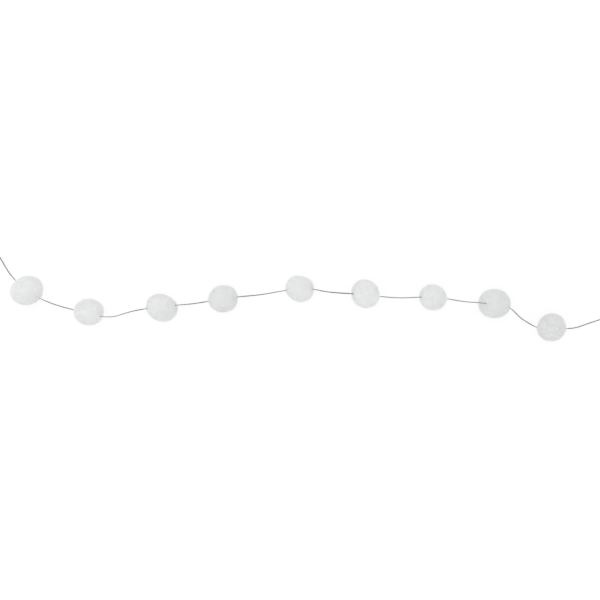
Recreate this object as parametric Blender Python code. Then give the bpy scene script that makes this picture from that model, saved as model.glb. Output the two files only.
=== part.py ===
"""Plush snowball garland: nine soft white balls threaded on one twisted silver string.

The garland lies at rest on the plane z = 0, along X. Each ball is a solid of its own, as big as its
pile reaches, with a small flat spot where it rests and a bore for the string. The string is one
continuous tube through all nine balls, and each of its ends is tied into a small hanging loop.
Run it with: blender --background --python part.py
"""

import math
from typing import NamedTuple

import bmesh
import bpy
import numpy as np
from mathutils import Vector

MM = 0.001  # the tables below are in millimetres, and Blender's unit is the metre

# The string, its bores and its tied ends, in millimetres
STRING_DIAMETER = 1.3
GAP = 0.3  # between pieces that meet
BORE_DIAMETER = STRING_DIAMETER + 2 * GAP + 0.2
KNOT_LENGTH = 6.4
KNOT_WIDTH = 4.6
KNOT_HEIGHT = 3.6
KNOT_FACE = 0.74  # share of the knot's half length at which its flat ends stand
LOOP_LENGTH = 24.0
LOOP_WIDTH = 11.0
LOOP_NECK = 2.1  # between the middles of the loop's two legs, at the knot
LOOP_LEAN = 0.15  # room for the loop's ends, which lean a little as they leave the knot
LOOP_FULLNESS = 1.3  # makes up for the width that the tear shape's taper takes
LOOP_TURN_BY = 0.62  # share of the loop's length by which it has turned off its tail's line
LOOP_FALL_BY = 0.4  # share of its length by which it has come down from the knot to the surface
LOOP_TURN_LEFT = 26.0  # degrees that each loop turns off its tail's line
LOOP_TURN_RIGHT = -8.0
LIE_CLEARANCE = 0.06  # under a string or knot that lies on the surface

# Fineness of the meshes
BALL_SEGMENTS = 24
BALL_RINGS = 14
KNOT_SEGMENTS = 12
KNOT_RINGS = 8
TUBE_BEVEL_RESOLUTION = 2
STEPS_PER_STRETCH = 2  # tube points for each stretch between two route points
LOOP_STEPS = 18

SINK = 0.9  # how far each ball's round form would reach below the surface before its flat spot is cut


class Ball(NamedTuple):
    """A plush ball, in millimetres and degrees, seen from above."""

    x: float
    y: float
    long: float  # across its longer way
    short: float  # across its shorter way
    turn: float  # from +X to its longer way
    height: float  # from the surface to its top


class Lump(NamedTuple):
    """A soft bulge of a ball, or with a negative lift a flattened place."""

    ball: int  # 1 is the leftmost
    azimuth: float  # degrees from +X
    elevation: float  # degrees above the ball's middle
    lift: float  # millimetres
    spread: float  # degrees from its middle to where it has faded to a third


class RoutePoint(NamedTuple):
    """A point on the middle line of the string, in millimetres."""

    x: float
    y: float
    z: float


BALLS = (
    Ball(x=-339.9, y=23.2, long=43.7, short=38.2, turn=18, height=38.0),
    Ball(x=-259.2, y=-4.6, long=38.3, short=35.2, turn=2, height=34.5),
    Ball(x=-164.8, y=0.9, long=42.4, short=35.5, turn=156, height=36.0),
    Ball(x=-84.7, y=12.4, long=38.5, short=35.4, turn=12, height=34.5),
    Ball(x=14.8, y=25.4, long=38.5, short=34.0, turn=155, height=33.5),
    Ball(x=100.4, y=19.0, long=38.2, short=36.6, turn=130, height=35.0),
    Ball(x=188.4, y=14.3, long=36.3, short=34.0, turn=160, height=33.5),
    Ball(x=268.2, y=6.0, long=42.4, short=38.9, turn=174, height=37.5),
    Ball(x=342.5, y=-25.0, long=38.0, short=37.0, turn=30, height=35.0),
)

LUMPS = (
    Lump(ball=1, azimuth=42, elevation=5, lift=0.9, spread=24),
    Lump(ball=1, azimuth=125, elevation=10, lift=-0.7, spread=26),
    Lump(ball=1, azimuth=250, elevation=30, lift=-0.6, spread=28),
    Lump(ball=1, azimuth=325, elevation=-5, lift=0.7, spread=20),
    Lump(ball=2, azimuth=18, elevation=0, lift=1.1, spread=22),
    Lump(ball=2, azimuth=155, elevation=5, lift=0.8, spread=24),
    Lump(ball=2, azimuth=212, elevation=0, lift=0.7, spread=22),
    Lump(ball=2, azimuth=70, elevation=40, lift=-0.8, spread=30),
    Lump(ball=2, azimuth=322, elevation=10, lift=0.8, spread=20),
    Lump(ball=3, azimuth=10, elevation=5, lift=1.9, spread=20),
    Lump(ball=3, azimuth=55, elevation=0, lift=-0.5, spread=18),
    Lump(ball=3, azimuth=180, elevation=0, lift=-0.6, spread=24),
    Lump(ball=3, azimuth=270, elevation=35, lift=-0.7, spread=26),
    Lump(ball=4, azimuth=42, elevation=0, lift=1.0, spread=22),
    Lump(ball=4, azimuth=135, elevation=5, lift=0.5, spread=24),
    Lump(ball=4, azimuth=325, elevation=0, lift=1.3, spread=22),
    Lump(ball=4, azimuth=200, elevation=50, lift=0.7, spread=30),
    Lump(ball=5, azimuth=32, elevation=0, lift=1.4, spread=22),
    Lump(ball=5, azimuth=82, elevation=5, lift=-0.6, spread=20),
    Lump(ball=5, azimuth=240, elevation=0, lift=-0.5, spread=24),
    Lump(ball=5, azimuth=330, elevation=30, lift=-0.6, spread=24),
    Lump(ball=6, azimuth=122, elevation=0, lift=0.9, spread=20),
    Lump(ball=6, azimuth=312, elevation=0, lift=0.7, spread=24),
    Lump(ball=6, azimuth=222, elevation=10, lift=0.4, spread=24),
    Lump(ball=6, azimuth=20, elevation=40, lift=-0.7, spread=28),
    Lump(ball=7, azimuth=128, elevation=0, lift=0.6, spread=22),
    Lump(ball=7, azimuth=200, elevation=0, lift=0.6, spread=22),
    Lump(ball=7, azimuth=60, elevation=10, lift=-0.4, spread=20),
    Lump(ball=7, azimuth=300, elevation=45, lift=-0.5, spread=28),
    Lump(ball=8, azimuth=35, elevation=0, lift=0.6, spread=24),
    Lump(ball=8, azimuth=145, elevation=0, lift=0.5, spread=20),
    Lump(ball=8, azimuth=270, elevation=0, lift=-0.8, spread=30),
    Lump(ball=8, azimuth=225, elevation=5, lift=0.7, spread=20),
    Lump(ball=9, azimuth=205, elevation=0, lift=0.6, spread=24),
    Lump(ball=9, azimuth=268, elevation=0, lift=-1.0, spread=26),
    Lump(ball=9, azimuth=150, elevation=10, lift=-0.8, spread=24),
    Lump(ball=9, azimuth=60, elevation=30, lift=0.6, spread=28),
)

# Where the string runs, from its left knot to its right one. It lies on the surface at both tails and
# hangs a little between the balls. A ball holds it from the row named "into" to the one named "out of".
ROUTE = (
    RoutePoint(-384.2, 76.4, 1.8),  # the left knot's flat end
    RoutePoint(-376.4, 65.5, 0.8),
    RoutePoint(-366.2, 49.0, 3.6),
    RoutePoint(-355.4, 36.4, 9.5),  # into ball 1, low on its side
    RoutePoint(-322.4, 13.2, 23.6),  # out of ball 1
    RoutePoint(-313.5, 9.2, 24.4),
    RoutePoint(-301.0, 4.4, 22.0),
    RoutePoint(-279.2, -2.0, 14.5),  # into ball 2
    RoutePoint(-244.4, -10.3, 26.6),  # out of ball 2
    RoutePoint(-236.0, -11.0, 26.6),
    RoutePoint(-226.0, -10.5, 24.0),
    RoutePoint(-210.0, -5.8, 19.8),
    RoutePoint(-183.0, -0.2, 22.6),  # into ball 3
    RoutePoint(-146.3, 4.1, 24.9),  # out of ball 3
    RoutePoint(-126.0, 5.8, 20.4),
    RoutePoint(-103.8, 9.2, 18.6),  # into ball 4
    RoutePoint(-66.5, 14.8, 22.7),  # out of ball 4
    RoutePoint(-36.0, 17.8, 19.2),
    RoutePoint(-2.0, 23.6, 23.6),  # into ball 5
    RoutePoint(31.8, 25.0, 22.6),  # out of ball 5
    RoutePoint(45.0, 22.5, 19.4),
    RoutePoint(66.0, 20.1, 20.2),
    RoutePoint(85.2, 18.9, 26.6),  # into ball 6
    RoutePoint(118.8, 15.6, 15.0),  # out of ball 6
    RoutePoint(146.0, 13.7, 15.4),
    RoutePoint(173.2, 14.6, 25.0),  # into ball 7
    RoutePoint(206.2, 12.5, 14.6),  # out of ball 7
    RoutePoint(234.0, 8.3, 25.4),
    RoutePoint(246.5, 7.5, 31.9),
    RoutePoint(254.8, 6.5, 33.3),  # into ball 8, high on its front
    RoutePoint(261.0, 5.8, 31.8),
    RoutePoint(287.6, 0.5, 24.6),  # out of ball 8
    RoutePoint(301.2, -11.4, 17.4),
    RoutePoint(311.8, -18.5, 14.6),
    RoutePoint(324.6, -25.2, 15.0),  # into ball 9
    RoutePoint(361.0, -26.5, 14.4),  # out of ball 9
    RoutePoint(374.0, -25.4, 8.4),
    RoutePoint(389.0, -20.9, 2.2),
    RoutePoint(405.0, -15.6, 0.75),
    RoutePoint(416.8, -11.4, 1.8),  # the right knot's flat end
)


def clear_scene() -> None:
    """Removes every object that the scene starts with."""
    for obj in list(bpy.data.objects):
        bpy.data.objects.remove(obj, do_unlink=True)


def make_material(name: str, colour: tuple, roughness: float, metallic: float) -> bpy.types.Material:
    """Returns a Principled material with these plain values."""
    material = bpy.data.materials.new(name)
    material.use_nodes = True
    shader = material.node_tree.nodes["Principled BSDF"]
    shader.inputs["Base Color"].default_value = (*colour, 1.0)
    shader.inputs["Roughness"].default_value = roughness
    shader.inputs["Metallic"].default_value = metallic
    return material


def add_object(name: str, data, material: bpy.types.Material, parent) -> bpy.types.Object:
    """Returns a new object in the scene, with its material and its parent."""
    obj = bpy.data.objects.new(name, data)
    bpy.context.scene.collection.objects.link(obj)
    obj.parent = parent
    data.materials.append(material)
    return obj


def direction(azimuth: float, elevation: float) -> Vector:
    """Returns the unit vector that points this way, both angles in degrees."""
    around, up = math.radians(azimuth), math.radians(elevation)
    return Vector((math.cos(up) * math.cos(around), math.cos(up) * math.sin(around), math.sin(up)))


def ball_middle(ball: Ball) -> float:
    """Returns the height of a ball's middle above the surface, in millimetres."""
    return (ball.height - SINK) / 2


def ball_point(ball: Ball, lumps: list, way: Vector) -> Vector:
    """Returns where the ball's surface lies along this unit vector from its middle, in millimetres."""
    turn = math.radians(ball.turn)
    along = way.x * math.cos(turn) + way.y * math.sin(turn)
    across = way.y * math.cos(turn) - way.x * math.sin(turn)
    radii = (ball.long / 2, ball.short / 2, (ball.height + SINK) / 2)
    radius = 1 / math.hypot(along / radii[0], across / radii[1], way.z / radii[2])
    for lump in lumps:
        away = math.degrees(way.angle(direction(lump.azimuth, lump.elevation)))
        radius += lump.lift * math.exp(-((away / lump.spread) ** 2))
    return way * radius


def make_ball(number: int, ball: Ball, bore, material, parent) -> bpy.types.Object:
    """Returns one ball: its irregular round form, cut flat where it rests and bored for the string."""
    lumps = [lump for lump in LUMPS if lump.ball == number]
    shape = bmesh.new()
    bmesh.ops.create_uvsphere(shape, u_segments=BALL_SEGMENTS, v_segments=BALL_RINGS, radius=1.0)
    for vertex in shape.verts:
        place = ball_point(ball, lumps, vertex.co.normalized())
        vertex.co = (place + Vector((0, 0, ball_middle(ball)))) * MM
    everything = shape.verts[:] + shape.edges[:] + shape.faces[:]
    cut = bmesh.ops.bisect_plane(
        shape, geom=everything, plane_co=(0, 0, 0), plane_no=(0, 0, 1), clear_inner=True
    )
    rim = [item for item in cut["geom_cut"] if isinstance(item, bmesh.types.BMEdge)]
    bmesh.ops.contextual_create(shape, geom=rim)
    bmesh.ops.recalc_face_normals(shape, faces=shape.faces[:])
    mesh = bpy.data.meshes.new(f"snowball_{number}")
    shape.to_mesh(mesh)
    shape.free()
    mesh.shade_smooth()
    obj = add_object(mesh.name, mesh, material, parent)
    obj.location = (ball.x * MM, ball.y * MM, 0)
    drill = obj.modifiers.new("string bore", "BOOLEAN")
    drill.operation = "DIFFERENCE"
    drill.solver = "EXACT"
    drill.object = bore
    return obj


def smooth_curve(points: np.ndarray, steps: int) -> np.ndarray:
    """Returns points on the natural cubic spline through the given ones, steps of them a stretch."""
    lengths = np.linalg.norm(np.diff(points, axis=0), axis=1)
    count = len(points)
    system = np.eye(count)
    slopes = np.diff(points, axis=0) / lengths[:, None]
    target = np.zeros_like(points)
    for i in range(1, count - 1):
        system[i, i - 1 : i + 2] = lengths[i - 1], 2 * (lengths[i - 1] + lengths[i]), lengths[i]
        target[i] = 6 * (slopes[i] - slopes[i - 1])
    bend = np.linalg.solve(system, target)
    found = []
    for i, length in enumerate(lengths):
        for step in range(steps):
            t = step / steps * length
            back = length - t
            curve = (bend[i] * back**3 + bend[i + 1] * t**3) / (6 * length)
            line = (points[i] / length - bend[i] * length / 6) * back
            line = line + (points[i + 1] / length - bend[i + 1] * length / 6) * t
            found.append(curve + line)
    found.append(points[-1])
    return np.array(found)


def make_tube(name: str, points: np.ndarray, diameter: float, material, parent) -> bpy.types.Object:
    """Returns a round tube with closed ends along these points, all in millimetres."""
    curve = bpy.data.curves.new(name, "CURVE")
    curve.dimensions = "3D"
    curve.bevel_depth = diameter / 2 * MM
    curve.bevel_resolution = TUBE_BEVEL_RESOLUTION
    curve.use_fill_caps = True
    spline = curve.splines.new("POLY")
    spline.points.add(len(points) - 1)
    for point, place in zip(spline.points, points):
        point.co = (*(place * MM), 1.0)
    return add_object(name, curve, material, parent)


def make_bore(points: np.ndarray, material, parent) -> bpy.types.Object:
    """Returns the cutter that leaves room for the string in the balls: a wider tube on its route."""
    guide = make_tube("string_bore_guide", points, BORE_DIAMETER, material, parent)
    bpy.context.view_layer.update()
    graph = bpy.context.evaluated_depsgraph_get()
    mesh = bpy.data.meshes.new_from_object(guide.evaluated_get(graph))
    bpy.data.objects.remove(guide, do_unlink=True)
    shape = bmesh.new()
    shape.from_mesh(mesh)
    bmesh.ops.remove_doubles(shape, verts=shape.verts[:], dist=1e-6)
    bmesh.ops.recalc_face_normals(shape, faces=shape.faces[:])
    shape.to_mesh(mesh)
    shape.free()
    cutter = bpy.data.objects.new("string_bore", mesh)
    bpy.context.scene.collection.objects.link(cutter)
    cutter.parent = parent
    cutter.hide_render = True
    cutter.display_type = "WIRE"
    return cutter


def tail_heading(end: np.ndarray, before: np.ndarray) -> float:
    """Returns the direction, in degrees from +X, in which the string runs at its end."""
    step = end - before
    return math.degrees(math.atan2(step[1], step[0]))


def make_knot(name: str, face: np.ndarray, heading: float, material, parent) -> bpy.types.Object:
    """Returns a knot whose flat end stands a gap from the string's end, on the string's own line."""
    shape = bmesh.new()
    bmesh.ops.create_uvsphere(shape, u_segments=KNOT_SEGMENTS, v_segments=KNOT_RINGS, radius=1.0)
    half = Vector((KNOT_LENGTH, KNOT_WIDTH, KNOT_HEIGHT)) / 2
    for vertex in shape.verts:
        # The sphere's poles go to the flat ends, where they are cut off.
        vertex.co = Vector((vertex.co.z * half.x, vertex.co.x * half.y, vertex.co.y * half.z)) * MM
    for side in (-1, 1):
        everything = shape.verts[:] + shape.edges[:] + shape.faces[:]
        plane = (side * KNOT_FACE * half.x * MM, 0, 0)
        cut = bmesh.ops.bisect_plane(
            shape, geom=everything, plane_co=plane, plane_no=(side, 0, 0), clear_outer=True
        )
        rim = [item for item in cut["geom_cut"] if isinstance(item, bmesh.types.BMEdge)]
        bmesh.ops.contextual_create(shape, geom=rim)
    bmesh.ops.recalc_face_normals(shape, faces=shape.faces[:])
    mesh = bpy.data.meshes.new(name)
    shape.to_mesh(mesh)
    shape.free()
    mesh.shade_smooth()
    mesh.set_sharp_from_angle(angle=math.radians(40))
    obj = add_object(name, mesh, material, parent)
    away = direction(heading, 0) * (GAP + KNOT_FACE * half.x)
    middle = Vector((face[0], face[1], half.z + LIE_CLEARANCE)) + away
    obj.location = middle * MM
    obj.rotation_euler = (0, 0, math.radians(heading))
    return obj


def loop_points(knot: bpy.types.Object, heading: float, turn: float) -> np.ndarray:
    """Returns the middle line of a tear-shaped loop that starts and ends at the knot's far end."""
    lie = STRING_DIAMETER / 2 + LIE_CLEARANCE
    rise = KNOT_HEIGHT / 2 + LIE_CLEARANCE - lie
    reach = KNOT_LENGTH / 2 * KNOT_FACE + GAP + LOOP_LEAN
    start = Vector(knot.location) / MM + direction(heading, 0) * reach
    found = []
    for step in range(LOOP_STEPS + 1):
        angle = 2 * math.pi * step / LOOP_STEPS
        share = (1 - math.cos(angle)) / 2
        tear = LOOP_FULLNESS * math.sin(angle) * math.sin(angle / 2) ** 2
        aside = LOOP_NECK / 2 * math.cos(angle / 2) + LOOP_WIDTH / 2 * tear
        way = direction(heading + turn * min(1.0, share / LOOP_TURN_BY), 0)
        place = start + way * LOOP_LENGTH * share + Vector((-way.y, way.x, 0)) * aside
        place.z = lie + rise * max(0.0, 1 - share / LOOP_FALL_BY) ** 2
        found.append(tuple(place))
    return np.array(found)


def main() -> None:
    """Builds the garland."""
    clear_scene()
    plush = make_material("white_plush", (0.80, 0.81, 0.81), 0.95, 0.0)
    silver = make_material("silver_string", (0.55, 0.55, 0.56), 0.35, 0.85)
    garland = bpy.data.objects.new("garland", None)
    bpy.context.scene.collection.objects.link(garland)

    route = np.array([tuple(point) for point in ROUTE])
    line = smooth_curve(route, STEPS_PER_STRETCH)
    make_tube("string", line, STRING_DIAMETER, silver, garland)
    bore = make_bore(line, silver, garland)
    for number, ball in enumerate(BALLS, start=1):
        make_ball(number, ball, bore, plush, garland)

    ends = (
        ("left", line[0], line[1], LOOP_TURN_LEFT),
        ("right", line[-1], line[-2], LOOP_TURN_RIGHT),
    )
    for side, end, before, turn in ends:
        heading = tail_heading(end, before)
        knot = make_knot(f"knot_{side}", end, heading, silver, garland)
        loop = loop_points(knot, heading, turn)
        make_tube(f"loop_{side}", loop, STRING_DIAMETER, silver, garland)


main()
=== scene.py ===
"""Looks of a plush snowball garland: nine white plush balls threaded on one twisted silver string.

Each ball is a felted body, bored for the string, under a pile of short fine locks. The string, its
two knots and its two hanging loops are laid up from two plies of silver yarn. Every piece takes the
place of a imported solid. Lengths are in metres unless a name says otherwise.
"""

import logging
import math
from collections.abc import Iterable, Mapping
from dataclasses import dataclass, field
from enum import Enum
from typing import ClassVar, NamedTuple

import bmesh
import bpy
import numpy as np
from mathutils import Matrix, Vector, noise
from mathutils.bvhtree import BVHTree


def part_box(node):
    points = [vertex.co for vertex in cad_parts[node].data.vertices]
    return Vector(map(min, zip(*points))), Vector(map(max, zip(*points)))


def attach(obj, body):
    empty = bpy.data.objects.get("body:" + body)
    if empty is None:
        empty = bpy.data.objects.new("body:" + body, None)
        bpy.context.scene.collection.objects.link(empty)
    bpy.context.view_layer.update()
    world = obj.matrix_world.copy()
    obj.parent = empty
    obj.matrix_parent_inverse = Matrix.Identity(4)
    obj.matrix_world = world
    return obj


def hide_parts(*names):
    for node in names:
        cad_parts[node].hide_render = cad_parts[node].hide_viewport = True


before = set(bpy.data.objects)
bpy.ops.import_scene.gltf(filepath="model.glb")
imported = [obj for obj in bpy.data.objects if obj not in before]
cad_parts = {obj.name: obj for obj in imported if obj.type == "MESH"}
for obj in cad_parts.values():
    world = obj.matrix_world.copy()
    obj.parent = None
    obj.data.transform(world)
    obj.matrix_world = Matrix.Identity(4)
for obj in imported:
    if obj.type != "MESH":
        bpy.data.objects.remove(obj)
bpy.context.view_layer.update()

LOG = logging.getLogger("garland")
MM = 0.001
MERGE = 1e-7  # corners nearer than this are one corner
TURN = 2 * math.pi
WHITE = (1.0, 1.0, 1.0, 1.0)
NOISE_MEAN = (0.5, 0.5, 0.5)
BODY = "root"  # the one rigid body that every piece rides on
COLOUR_MAP = "OFBake"  # the UV map that yarn and pile take their colours from
NODE_SPACING = 190

Value = object  # what a node's input takes: a plain value, or a wire from another node
Inputs = Mapping[int | str, Value]  # such values by the inputs' names or indices


class Slot(Enum):
    """The record's material slots."""

    PLUSH = "plush"
    STRING = "string"


class Kind(Enum):
    """The kinds of socket that a node group shows."""

    COLOUR = "NodeSocketColor"
    FLOAT = "NodeSocketFloat"
    GEOMETRY = "NodeSocketGeometry"
    INTEGER = "NodeSocketInt"
    MATERIAL = "NodeSocketMaterial"


class Side(Enum):
    """The garland's two ends."""

    LEFT = "left"
    RIGHT = "right"


class RoutePoint(NamedTuple):
    """A point on the middle line of the string."""

    x: float
    y: float
    z: float


# Where the string runs, from its left knot to its right one. A ball holds it from the row named
# "into" to the one named "out of".
ROUTE = (
    RoutePoint(-0.3842, 0.0764, 0.0018),  # the left knot's flat end
    RoutePoint(-0.3764, 0.0655, 0.0008),
    RoutePoint(-0.3662, 0.0490, 0.0036),
    RoutePoint(-0.3554, 0.0364, 0.0095),  # into ball 1, low on its side
    RoutePoint(-0.3224, 0.0132, 0.0236),  # out of ball 1
    RoutePoint(-0.3135, 0.0092, 0.0244),
    RoutePoint(-0.3010, 0.0044, 0.0220),
    RoutePoint(-0.2792, -0.0020, 0.0145),  # into ball 2
    RoutePoint(-0.2444, -0.0103, 0.0266),  # out of ball 2
    RoutePoint(-0.2360, -0.0110, 0.0266),
    RoutePoint(-0.2260, -0.0105, 0.0240),
    RoutePoint(-0.2100, -0.0058, 0.0198),
    RoutePoint(-0.1830, -0.0002, 0.0226),  # into ball 3
    RoutePoint(-0.1463, 0.0041, 0.0249),  # out of ball 3
    RoutePoint(-0.1260, 0.0058, 0.0204),
    RoutePoint(-0.1038, 0.0092, 0.0186),  # into ball 4
    RoutePoint(-0.0665, 0.0148, 0.0227),  # out of ball 4
    RoutePoint(-0.0360, 0.0178, 0.0192),
    RoutePoint(-0.0020, 0.0236, 0.0236),  # into ball 5
    RoutePoint(0.0318, 0.0250, 0.0226),  # out of ball 5
    RoutePoint(0.0450, 0.0225, 0.0194),
    RoutePoint(0.0660, 0.0201, 0.0202),
    RoutePoint(0.0852, 0.0189, 0.0266),  # into ball 6
    RoutePoint(0.1188, 0.0156, 0.0150),  # out of ball 6
    RoutePoint(0.1460, 0.0137, 0.0154),
    RoutePoint(0.1732, 0.0146, 0.0250),  # into ball 7
    RoutePoint(0.2062, 0.0125, 0.0146),  # out of ball 7
    RoutePoint(0.2340, 0.0083, 0.0254),
    RoutePoint(0.2465, 0.0075, 0.0319),
    RoutePoint(0.2548, 0.0065, 0.0333),  # into ball 8, high on its front
    RoutePoint(0.2610, 0.0058, 0.0318),
    RoutePoint(0.2876, 0.0005, 0.0246),  # out of ball 8
    RoutePoint(0.3012, -0.0114, 0.0174),
    RoutePoint(0.3118, -0.0185, 0.0146),
    RoutePoint(0.3246, -0.0252, 0.0150),  # into ball 9
    RoutePoint(0.3610, -0.0265, 0.0144),  # out of ball 9
    RoutePoint(0.3740, -0.0254, 0.0084),
    RoutePoint(0.3890, -0.0209, 0.0022),
    RoutePoint(0.4050, -0.0156, 0.00075),
    RoutePoint(0.4168, -0.0114, 0.0018),  # the right knot's flat end
)


def smooth_curve(points: np.ndarray, steps: int) -> np.ndarray:
    """Runs a natural cubic spline through some points.

    Args:
        points: the points that the curve passes through, one a row.
        steps: how many points it gives for each stretch between two of them.

    Returns:
        The points along the curve, one a row, both ends included.
    """
    lengths = np.linalg.norm(np.diff(points, axis=0), axis=1)
    count = len(points)
    system = np.eye(count)
    slopes = np.diff(points, axis=0) / lengths[:, None]
    target = np.zeros_like(points)
    for i in range(1, count - 1):
        system[i, i - 1 : i + 2] = lengths[i - 1], 2 * (lengths[i - 1] + lengths[i]), lengths[i]
        target[i] = 6 * (slopes[i] - slopes[i - 1])
    bend = np.linalg.solve(system, target)
    found = []
    for i, length in enumerate(lengths):
        for step in range(steps):
            t = step / steps * length
            back = length - t
            curve = (bend[i] * back**3 + bend[i + 1] * t**3) / (6 * length)
            line = (points[i] / length - bend[i] * length / 6) * back
            line = line + (points[i + 1] / length - bend[i + 1] * length / 6) * t
            found.append(curve + line)
    found.append(points[-1])
    return np.array(found)


def smoothstep(values: np.ndarray, low: float, high: float) -> np.ndarray:
    """Returns values eased from 0 at low to 1 at high."""
    share = np.clip((values - low) / (high - low), 0.0, 1.0)
    return share * share * (3 - 2 * share)


def left_of(way: np.ndarray) -> np.ndarray:
    """Returns the level way that points to the left of another."""
    return np.array((-way[1], way[0], 0.0))


def neighbour_mean(values: np.ndarray, edges: np.ndarray) -> np.ndarray:
    """Takes the mean of what each vertex's neighbours hold.

    Args:
        values: one for each vertex.
        edges: the pairs of vertices that the edges join.

    Returns:
        The mean for each vertex.
    """
    total = np.bincount(edges[:, 0], values[edges[:, 1]], len(values))
    total += np.bincount(edges[:, 1], values[edges[:, 0]], len(values))
    return total / np.bincount(edges.ravel(), minlength=len(values))


def add_object(name: str, data: bpy.types.ID) -> bpy.types.Object:
    """Puts a new object in the scene.

    Args:
        name: its name.
        data: its mesh, curve, lamp or camera.

    Returns:
        The new object.
    """
    obj = bpy.data.objects.new(name, data)
    bpy.context.scene.collection.objects.link(obj)
    return obj


def evaluated_mesh(obj: bpy.types.Object, name: str) -> bpy.types.Mesh:
    """Turns an object, with its modifiers, into a plain mesh.

    Args:
        obj: the object to evaluate.
        name: the new mesh's name.

    Returns:
        The new mesh.
    """
    bpy.context.view_layer.update()
    graph = bpy.context.evaluated_depsgraph_get()
    mesh = bpy.data.meshes.new_from_object(
        obj.evaluated_get(graph), preserve_all_data_layers=True, depsgraph=graph
    )
    mesh.name = name
    return mesh


def note(mesh: bpy.types.Mesh, name: str, values: np.ndarray, domain: str = "POINT") -> None:
    """Stores a number or a vector under a name on each of a mesh's points or faces."""
    kind, key = ("FLOAT", "value") if values.ndim == 1 else ("FLOAT_VECTOR", "vector")
    mesh.attributes.new(name, kind, domain).data.foreach_set(key, values.astype(np.float32).ravel())


def report(piece: bpy.types.Object) -> None:
    """Logs a finished piece, with the number of its triangles."""
    piece.data.calc_loop_triangles()
    LOG.info("%s: %d triangles", piece.name, len(piece.data.loop_triangles))


def sizes_of(owner: object, names: Iterable[str]) -> dict[str, float]:
    """Returns an owner's sizes by the names of a tree's inputs: "Ply Radius" is its ply_radius."""
    return {name: getattr(owner, name.lower().replace(" ", "_")) for name in names}


@dataclass(frozen=True)
class Wire:
    """A value that comes out of a node. Arithmetic on it adds Math nodes, and [name] takes another output."""

    builder: "TreeBuilder"  # what adds nodes to the same tree
    node: bpy.types.Node  # the node that the value comes from
    output: int | str = 0  # the output that it comes out of

    def __getitem__(self, output: int | str) -> "Wire":
        """Returns the value that comes out of another output of the same node."""
        return Wire(self.builder, self.node, output)

    def __add__(self, other: Value) -> "Wire":
        """Returns this value plus another."""
        return self.builder.maths("ADD", self, other)

    def __sub__(self, other: Value) -> "Wire":
        """Returns this value less another."""
        return self.builder.maths("SUBTRACT", self, other)

    def __rsub__(self, other: Value) -> "Wire":
        """Returns another value less this one."""
        return self.builder.maths("SUBTRACT", other, self)

    def __mul__(self, other: Value) -> "Wire":
        """Returns this value times another."""
        return self.builder.maths("MULTIPLY", self, other)

    def __truediv__(self, other: Value) -> "Wire":
        """Returns this value over another."""
        return self.builder.maths("DIVIDE", self, other)

    def __rtruediv__(self, other: Value) -> "Wire":
        """Returns another value over this one."""
        return self.builder.maths("DIVIDE", other, self)


@dataclass
class TreeBuilder:
    """Adds nodes to one tree and links them, so that a tree reads as a list of steps."""

    tree: bpy.types.NodeTree  # the node tree that it adds to

    def feed(self, node: bpy.types.Node, inputs: Inputs) -> None:
        """Sets or links a node's inputs.

        Args:
            node: the node.
            inputs: a value or a wire for each input.
        """
        for key, value in inputs.items():
            if isinstance(value, Wire):
                self.tree.links.new(value.node.outputs[value.output], node.inputs[key])
            else:
                node.inputs[key].default_value = value

    def add(self, kind: str, inputs: Inputs | None = None, **settings: object) -> Wire:
        """Adds one node.

        Args:
            kind: the node's type.
            inputs: a value or a wire for each input.
            **settings: its own options.

        Returns:
            What comes out of the new node.
        """
        node = self.tree.nodes.new(kind)
        node.location = (NODE_SPACING * len(self.tree.nodes), 0)
        for name, value in settings.items():
            setattr(node, name, value)
        self.feed(node, inputs or {})
        return Wire(self, node)

    def maths(self, operation: str, first: Value, second: Value = 0.0) -> Wire:
        """Returns what a Math node makes of one or two values."""
        return self.add("ShaderNodeMath", {0: first, 1: second}, operation=operation)

    def vector_maths(self, operation: str, first: Value, second: Value = (0.0, 0.0, 0.0)) -> Wire:
        """Returns the vector that a Vector Math node makes of one or two vectors."""
        return self.add("ShaderNodeVectorMath", {0: first, 1: second}, operation=operation)

    def scaled(self, vector: Value, factor: Value) -> Wire:
        """Returns a vector times a number."""
        return self.add("ShaderNodeVectorMath", {0: vector, "Scale": factor}, operation="SCALE")

    def parts(self, vector: Value) -> tuple[Wire, Wire, Wire]:
        """Returns the X, Y and Z of a vector."""
        split = self.add("ShaderNodeSeparateXYZ", {0: vector})
        return split[0], split[1], split[2]

    def joined(self, x: Value, y: Value, z: Value = 0.0) -> Wire:
        """Returns the vector with this X, Y and Z."""
        return self.add("ShaderNodeCombineXYZ", {0: x, 1: y, 2: z})

    def ranged(self, value: Value, low: float, high: float, to_low: Value, to_high: Value) -> Wire:
        """Returns a value moved from one range to another, and kept inside it."""
        inputs = {0: value, 1: low, 2: high, 3: to_low, 4: to_high}
        return self.add("ShaderNodeMapRange", inputs, clamp=True)

    def inset(self, value: Value, edge: float) -> Wire:
        """Returns a value from 0 to 1 that now keeps this far off both."""
        return self.ranged(value, 0.0, 1.0, edge, 1.0 - edge)

    def noise(self, place: Wire, size: Wire, detail: float) -> Wire:
        """Returns soft noise at a place, in features of about this size."""
        inputs = {"Vector": place, "Scale": 1.0 / size, "Detail": detail}
        return self.add("ShaderNodeTexNoise", inputs)


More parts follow.
